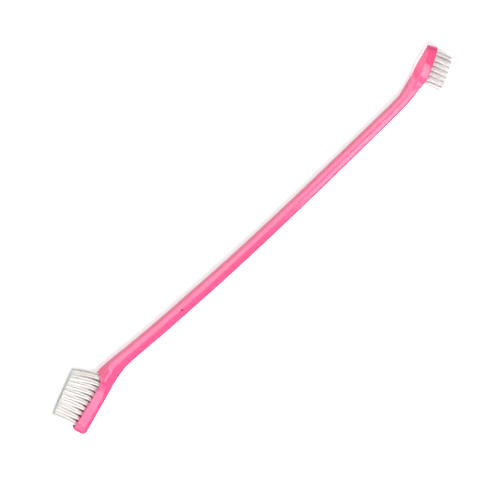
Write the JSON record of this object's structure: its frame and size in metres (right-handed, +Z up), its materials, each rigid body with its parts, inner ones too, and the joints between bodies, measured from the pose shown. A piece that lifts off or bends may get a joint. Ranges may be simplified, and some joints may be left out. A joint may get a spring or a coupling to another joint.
{
  "type": "pet toothbrush",
  "caption": "Double-ended pet toothbrush: octagonal moulded handle bent back at both ends, with a large and a small tufted head facing opposite ways.",
  "frame": {"origin": "bottom centre of the whole brush as it lies on its side", "axes": "+X along the handle from the large head to the small head, +Y the way the large head's bristles point, +Z up out of the surface it lies on"},
  "size_m": [0.2196, 0.0238, 0.0106],
  "materials": {
    "handle_plastic": "glossy pink moulded plastic, slightly translucent",
    "bristle_nylon": "fine white nylon filaments",
    "anchor_wire": "bright nickel-brass flat wire, seen only inside the holes"
  },
  "bodies": {
    "root": {"handle": "handle_plastic", "large_tuft_r01_a": "bristle_nylon", "large_tuft_r01_b": "bristle_nylon", "large_tuft_r01_c": "bristle_nylon", "large_tuft_r02_a": "bristle_nylon", "large_tuft_r02_b": "bristle_nylon", "large_tuft_r02_c": "bristle_nylon", "large_tuft_r03_a": "bristle_nylon", "large_tuft_r03_b": "bristle_nylon", "large_tuft_r03_c": "bristle_nylon", "large_tuft_r04_a": "bristle_nylon", "large_tuft_r04_b": "bristle_nylon", "large_tuft_r04_c": "bristle_nylon", "large_tuft_r05_a": "bristle_nylon", "large_tuft_r05_b": "bristle_nylon", "large_tuft_r05_c": "bristle_nylon", "large_tuft_r06_a": "bristle_nylon", "large_tuft_r06_b": "bristle_nylon", "large_tuft_r06_c": "bristle_nylon", "large_tuft_r07_a": "bristle_nylon", "large_tuft_r07_b": "bristle_nylon", "large_tuft_r07_c": "bristle_nylon", "large_tuft_r08_a": "bristle_nylon", "large_tuft_r08_b": "bristle_nylon", "large_tuft_r08_c": "bristle_nylon", "large_tuft_r09_a": "bristle_nylon", "large_tuft_r09_b": "bristle_nylon", "large_tuft_r09_c": "bristle_nylon", "large_tuft_r10_a": "bristle_nylon", "large_tuft_r10_b": "bristle_nylon", "small_tuft_r01_a": "bristle_nylon", "small_tuft_r01_b": "bristle_nylon", "small_tuft_r02_a": "bristle_nylon", "small_tuft_r02_b": "bristle_nylon", "small_tuft_r02_c": "bristle_nylon", "small_tuft_r03_a": "bristle_nylon", "small_tuft_r03_b": "bristle_nylon", "small_tuft_r03_c": "bristle_nylon", "small_tuft_r04_a": "bristle_nylon", "small_tuft_r04_b": "bristle_nylon", "small_tuft_r04_c": "bristle_nylon", "small_tuft_r05_a": "bristle_nylon", "small_tuft_r05_b": "bristle_nylon", "small_tuft_r05_c": "bristle_nylon", "small_tuft_r06_a": "bristle_nylon", "small_tuft_r06_b": "bristle_nylon", "small_tuft_r06_c": "bristle_nylon", "small_tuft_r07_a": "bristle_nylon", "small_tuft_r07_b": "bristle_nylon"}
  },
  "joints": []
}
